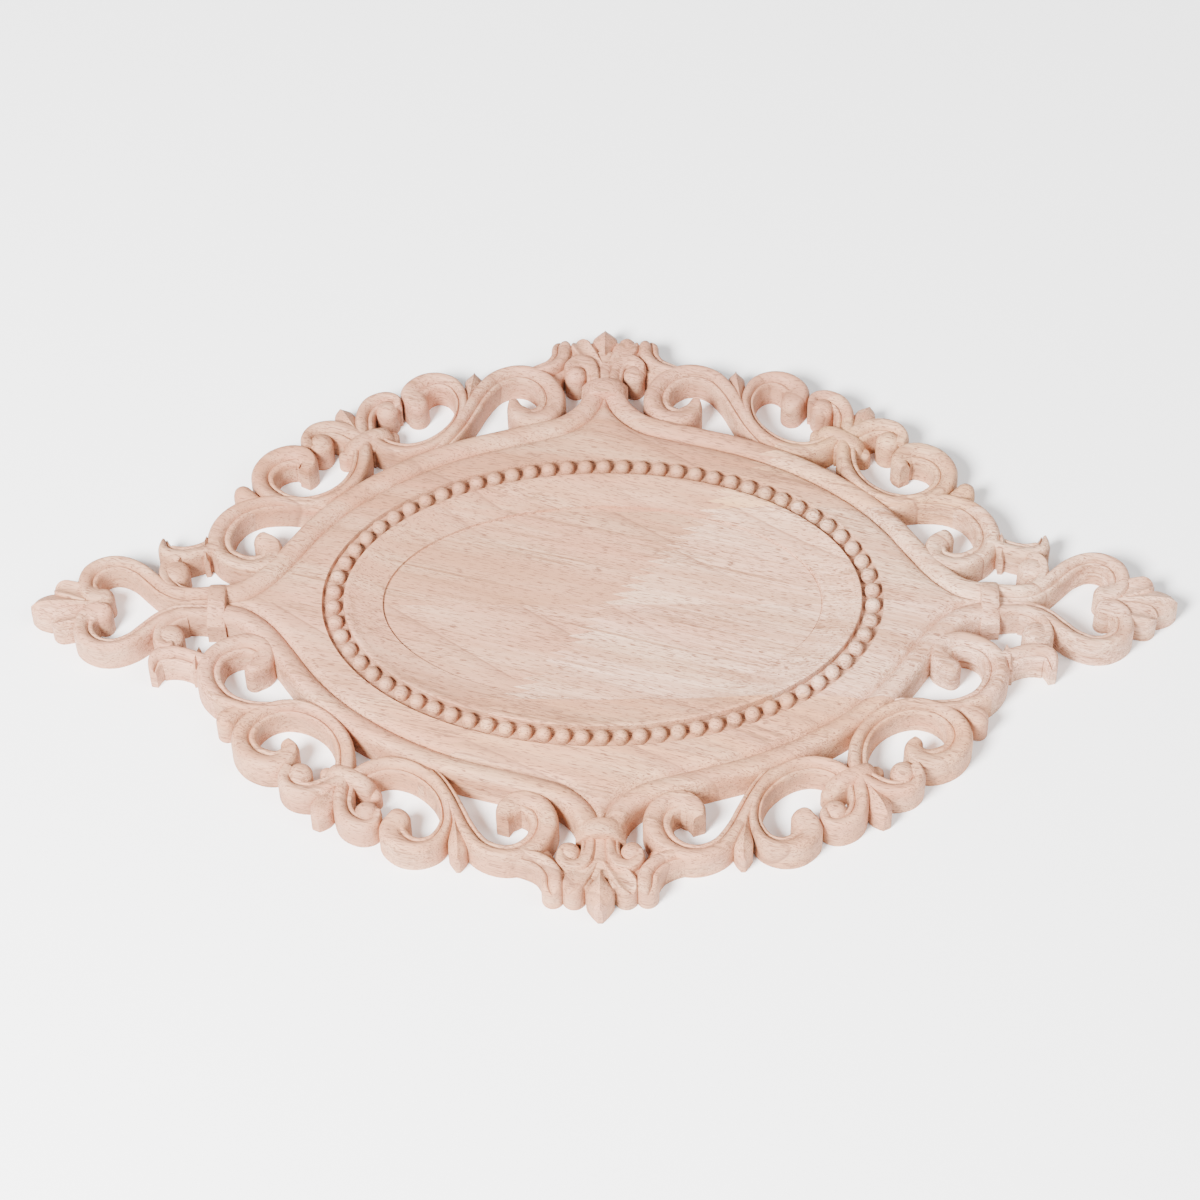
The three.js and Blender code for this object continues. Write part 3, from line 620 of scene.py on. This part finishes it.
def rubberwood(settings):
    """Rubberwood, cut by a router, sanded and left bare: matt pinkish beige with short dark vessel lines.
    The board is glued up from strips that run along X, each finger-jointed end to end."""
    material = bpy.data.materials.new("bare_rubberwood")
    material.use_nodes = True
    tree = material.node_tree
    tree.nodes.clear()
    place = node(tree, "TexCoord").outputs["Object"]
    x, y, z = node(tree, "SeparateXYZ", {0: place}).outputs

    # Which strip a point lies in, and on which side of its finger joint, whose teeth are a zigzag across it.
    row = node(tree, "Math", {0: y, 1: STRIP_EDGE * MM}, operation="SUBTRACT")
    row = node(tree, "Math", {0: row, 1: STRIP_WIDTH * MM}, operation="DIVIDE")
    row = node(tree, "Math", {0: row}, operation="FLOOR")
    teeth = node(tree, "Math", {0: y, 1: TOOTH_PITCH / 2 * MM}, operation="PINGPONG")
    joint = node(tree, "Math", {0: y, 1: JOINT_LEAN, 2: JOINT_AT * MM}, operation="MULTIPLY_ADD")
    joint = node(tree, "Math", {
        0: teeth, 1: 2 * TOOTH_LENGTH / TOOTH_PITCH, 2: joint}, operation="MULTIPLY_ADD")
    beyond = node(tree, "Math", {0: x, 1: joint}, operation="GREATER_THAN")
    piece = node(tree, "Math", {0: beyond, 1: 0.5, 2: row}, operation="MULTIPLY_ADD")
    own = node(tree, "VectorMath", {0: piece, 1: STRIP_SHIFT, 2: place}, operation="MULTIPLY_ADD")
    grain = node(tree, "Mapping", {"Vector": own, "Rotation": (0, 0, settings.grain)})

    # Each piece's own tint. Its value falls in the middle of the tint's stretch of the ramp.
    count = len(TINTS)
    value = node(tree, "Math", {
        0: piece, 1: 2 / count, 2: (MIDDLE_TINT + 0.5) / count}, operation="MULTIPLY_ADD")
    tint = node(tree, "ValToRGB", {0: value}, [(i / count, linear(tone)) for i, tone in enumerate(TINTS)])
    tint.color_ramp.interpolation = "CONSTANT"

    # The patterns along the grain. The vessels' pores are denser in some streaks.
    noise = {}
    for name, (along, across, detail, roughness_and_painted_shade, _) in PATTERNS.items():
        fitted = node(tree, "Mapping", {
            "Vector": grain, "Scale": (1 / (along * MM), 1 / (across * MM), 1 / (across * MM))})
        noise[name] = node(tree, "TexNoise", {
            "Vector": fitted, "Scale": 1.0, "Detail": detail, "Roughness": roughness_and_painted_shade})
    pores = node(tree, "Math", {0: noise["pores"], 1: PORES_TAKEN}, operation="SUBTRACT")
    noise["pores"] = node(tree, "Math", {0: noise["dense"], 1: PORES_ADDED, 2: pores}, operation="MULTIPLY_ADD")
    shown = {name: node(tree, "ValToRGB", {0: noise[name]}, PATTERNS[name][-1]) for name in PATTERNS}
    lined = node(tree, "Math", {0: shown["lines"], 1: shown["dense"]}, operation="MULTIPLY")

    # The growth lines, which are strong where the wood is figured.
    leaning = node(tree, "Mapping", {"Vector": grain, "Rotation": (0, 0, GROWTH_LEAN)})
    wave = GROWTH_PITCH * WAVE_BANDS / math.tau
    bands = node(tree, "Mapping", {
        "Vector": leaning, "Scale": (1 / (GROWTH_LENGTH * MM), 1 / (wave * MM), 1 / (wave * MM))})
    growth = node(
        tree, "TexWave", {"Vector": bands, "Scale": 1.0, "Distortion": 9.0, "Detail": 0.5, "Detail Scale": 0.5},
        bands_direction="Y", wave_profile="SAW").outputs[1]
    growth = node(tree, "ValToRGB", {0: growth}, GROWTH_STOPS)
    grown = node(tree, "Math", {0: growth, 1: shown["figured"]}, operation="MULTIPLY")

    # Painted shade in the pearls' channel: darker low down, near the pearl ring.
    ring = node(tree, "VectorMath", {
        0: place, 1: (2 / (RING[0] * MM), 2 / (RING[1] * MM), 0)}, operation="MULTIPLY")
    ring = node(tree, "VectorMath", {0: ring}, operation="LENGTH").outputs["Value"]
    near = node(tree, "Math", {0: ring, 1: 1.0, 2: CHANNEL_WIDTH / RING[1]}, operation="COMPARE")
    low = node(tree, "Math", {0: z, 1: THICKNESS * MM}, operation="DIVIDE")
    low = node(tree, "ValToRGB", {0: low}, PAINTED_SHADE_STOPS)
    # Where the painted shade lies: near the pearl ring, and low down.
    painted_shade = node(tree, "Math", {0: near, 1: low}, operation="MULTIPLY")

    # The colour in layers, from the tint up.
    colour = tint
    for share, tone in (
        (shown["streaks"], settings.streak), (shown["broad"], settings.pink), (shown["patches"], settings.pale),
        (grown, settings.vessel), (shown["fibres"], settings.streak), (lined, settings.line),
        (painted_shade, settings.roughness_and_painted_shade), (shown["pores"], settings.vessel),
    ):
        colour = node(tree, "Mix", {0: share, 6: colour, 7: linear(tone)}, data_type="RGBA").outputs[2]

    # The sanded fibres stand up a little, and the vessels are open.
    height = node(tree, "Math", {0: noise["fibres"], 1: 0.6}, operation="MULTIPLY")
    height = node(tree, "Math", {0: height, 1: shown["pores"]}, operation="SUBTRACT")
    bump = node(tree, "Bump", {"Height": height, "Strength": 0.4, "Distance": 0.15 * MM})
    shader = node(tree, "BsdfPrincipled", {
        "Base Color": colour, "Roughness": 0.66, "Normal": bump, "Specular IOR Level": 0.3})
    node(tree, "OutputMaterial", {"Surface": shader})
    return material


class APPLIQUE_OT_carve(bpy.types.Operator):
    """Carve the applique from one board and finish it as bare rubberwood"""
    bl_idname = "applique.carve"
    bl_label = "Carve applique"

    def execute(self, context):
        settings = context.scene.applique
        turn, step = settings.turn, settings.step / MM

        def body(strand, name):
            row = stations(strand["knots"], turn, step)
            ends = strand.get("round_ends", (False, False))
            if ends[0]:
                row = rounded(row[0], -1)[::-1] + row
            if ends[1]:
                row = row + rounded(row[-1], 1)
            made = sweep(strand["section"], row, strand.get("eye", LEFT), strand.get("pads", (0, 0)))
            return as_object(made, name)

        parts = [body(strand, "strand") for strand in STRANDS]
        moulding = dict(section=MOULDING, eye=RIGHT, knots=MOULDING_PATH)
        parts.append(body(moulding, "moulding"))
        for x, y, radius in BALLS:
            parts.append(as_object(dome(x, y, radius, BALL_TOP, BALL_SHOULDER, 0, BALL_SIDES), "ball"))
        quadrant = united(parts, "quadrant")
        half = united([quadrant, mirrored(quadrant, 0, "quadrant_b")], "half")
        fringe = united([half, mirrored(half, 1, "half_b")], "fringe")

        parts = [as_object(panel(stations(MOULDING_PATH, turn, step)), "panel")]
        for section, knots, axis in AXIAL:
            piece = body(dict(section=section, knots=knots), "axial")
            parts += [piece, mirrored(piece, axis, "axial_b")]
        radius = PEARL_DIAMETER / 2
        for x, y in pearl_places():
            pearl = dome(x, y, radius, THICKNESS, THICKNESS - radius, PEARL_FOOT, PEARL_SIDES)
            parts.append(as_object(pearl, "pearl"))
        carved = united([fringe] + parts, NODE + "_carved")

        bm = bmesh.new()
        bm.from_mesh(carved.data)
        bmesh.ops.remove_doubles(bm, verts=bm.verts, dist=MERGED_AT_LAST)
        bmesh.ops.dissolve_degenerate(bm, dist=MERGED, edges=bm.edges)
        for face in bm.faces:
            face.smooth = True
        for edge in bm.edges:
            edge.smooth = edge.is_manifold and edge.calc_face_angle(math.pi) < math.radians(SHARP_EDGE)
        bm.to_mesh(carved.data)
        bm.free()
        carved.data.materials.clear()
        carved.data.materials.append(rubberwood(settings))
        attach(carved, "root")
        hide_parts(NODE)
        return {"FINISHED"}


class APPLIQUE_OT_stage(bpy.types.Operator):
    """Set the pale floor, the soft studio light and the camera"""
    bl_idname = "applique.stage"
    bl_label = "Set stage"

    def execute(self, context):
        settings = context.scene.applique
        scene = context.scene

        bm = bmesh.new()
        bmesh.ops.create_grid(bm, x_segments=1, y_segments=1, size=6)
        floor = as_object(bm, "floor")
        paper = bpy.data.materials.new("matt_paper_floor")
        paper.use_nodes = True
        shader = paper.node_tree.nodes["Principled BSDF"]
        shader.inputs["Base Color"].default_value = linear(settings.floor)
        shader.inputs["Roughness"].default_value = 0.9
        floor.data.materials.append(paper)

        world = bpy.data.worlds.new("soft_studio")
        world.use_nodes = True
        sky = world.node_tree.nodes["Background"]
        sky.inputs["Color"].default_value = (1, 1, 1, 1)
        sky.inputs["Strength"].default_value = 0.56
        scene.world = world

        for name, place, size, power in (
            ("key_light", (-0.75, -0.9, 1.2), 0.6, 146),
            ("fill_light", (1.3, -0.6, 1.6), 1.4, 40),
        ):
            lamp = bpy.data.lights.new(name, "AREA")
            lamp.shape = "DISK"
            lamp.size = size
            lamp.energy = power
            made = bpy.data.objects.new(name, lamp)
            made.location = place
            made.rotation_euler = (-Vector(place)).to_track_quat("-Z", "Y").to_euler()
            scene.collection.objects.link(made)

        # The camera looks at the middle of the back with a long lens, from 53.5 degrees up, turned 1.6 degrees
        # about the vertical and rolled by 1.5 degrees.
        lift, turn, roll = math.radians(53.4873), math.radians(1.6365), math.radians(1.496)
        right = Vector((1, 0, 0))
        up = Vector((0, math.sin(lift), math.cos(lift)))
        back = Vector((0, -math.cos(lift), math.sin(lift)))
        rolled_right = math.cos(roll) * right - math.sin(roll) * up
        rolled_up = math.sin(roll) * right + math.cos(roll) * up
        seen = Matrix.Rotation(turn, 3, "Z") @ Matrix((rolled_right, rolled_up, back)).transposed()
        camera = bpy.data.cameras.new("camera")
        camera.sensor_width = 36
        camera.lens = 118.86
        camera.shift_x = -0.00268
        camera.shift_y = 0.01642
        camera.clip_end = 50
        eye = bpy.data.objects.new("camera", camera)
        eye.matrix_world = Matrix.Translation(seen.col[2] * settings.camera_distance) @ seen.to_4x4()
        scene.collection.objects.link(eye)
        scene.camera = eye
        return {"FINISHED"}


class APPLIQUE_PT_panel(bpy.types.Panel):
    bl_label = "Applique"
    bl_idname = "APPLIQUE_PT_panel"
    bl_space_type = "VIEW_3D"
    bl_region_type = "UI"
    bl_category = "Applique"

    def draw(self, context):
        for name in AppliqueSettings.__annotations__:
            self.layout.prop(context.scene.applique, name)
        for operator in OPERATORS:
            self.layout.operator(operator.bl_idname)


OPERATORS = (APPLIQUE_OT_carve, APPLIQUE_OT_stage)
CLASSES = (AppliqueSettings,) + OPERATORS + (APPLIQUE_PT_panel,)


def register():
    for cls in CLASSES:
        bpy.utils.register_class(cls)
    bpy.types.Scene.applique = PointerProperty(type=AppliqueSettings)


def unregister():
    del bpy.types.Scene.applique
    for cls in reversed(CLASSES):
        bpy.utils.unregister_class(cls)


def main():
    register()
    bpy.ops.applique.carve()
    bpy.ops.applique.stage()


if __name__ == "__main__":
    main()
